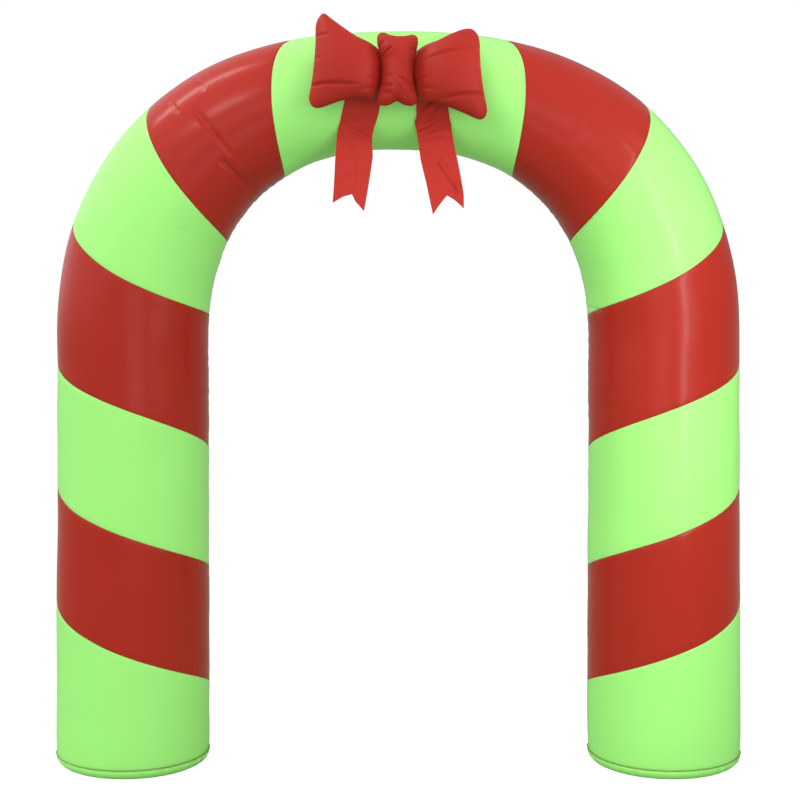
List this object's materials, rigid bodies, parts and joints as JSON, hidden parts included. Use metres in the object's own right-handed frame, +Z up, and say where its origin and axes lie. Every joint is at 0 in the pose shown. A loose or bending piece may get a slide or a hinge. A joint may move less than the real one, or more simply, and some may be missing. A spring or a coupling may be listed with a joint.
{
  "type": "inflatable arch",
  "caption": "Walk-through inflatable arch of fat tube with slanted green and red bands, puffed round feet and a red ribbon bow on the front of its crown.",
  "frame": {"origin": "on the floor, midway between the outer sides of the two legs and midway between the arch's foremost and rearmost points", "axes": "+Z up; +X to the right for someone who faces the bow; the bow is on the -Y side, so a person walks through along Y"},
  "size_m": [2.329, 0.5872, 2.4859],
  "materials": {
    "green_fabric": "lime green coated nylon with a soft sheen",
    "red_fabric": "deep red coated nylon with a soft sheen"
  },
  "bodies": {
    "root": {"bow_knot": "red_fabric", "crown_green_band": "green_fabric", "left_bow_loop": "red_fabric", "left_bow_tail": "red_fabric", "left_foot": "green_fabric", "left_lower_green_band": "green_fabric", "left_lower_red_band": "red_fabric", "left_middle_green_band": "green_fabric", "left_middle_red_band": "red_fabric", "left_shoulder_green_band": "green_fabric", "left_shoulder_red_band": "red_fabric", "right_bow_loop": "red_fabric", "right_bow_tail": "red_fabric", "right_foot": "green_fabric", "right_lower_green_band": "green_fabric", "right_lower_red_band": "red_fabric", "right_middle_green_band": "green_fabric", "right_middle_red_band": "red_fabric", "right_shoulder_green_band": "green_fabric", "right_shoulder_red_band": "red_fabric"}
  },
  "joints": []
}
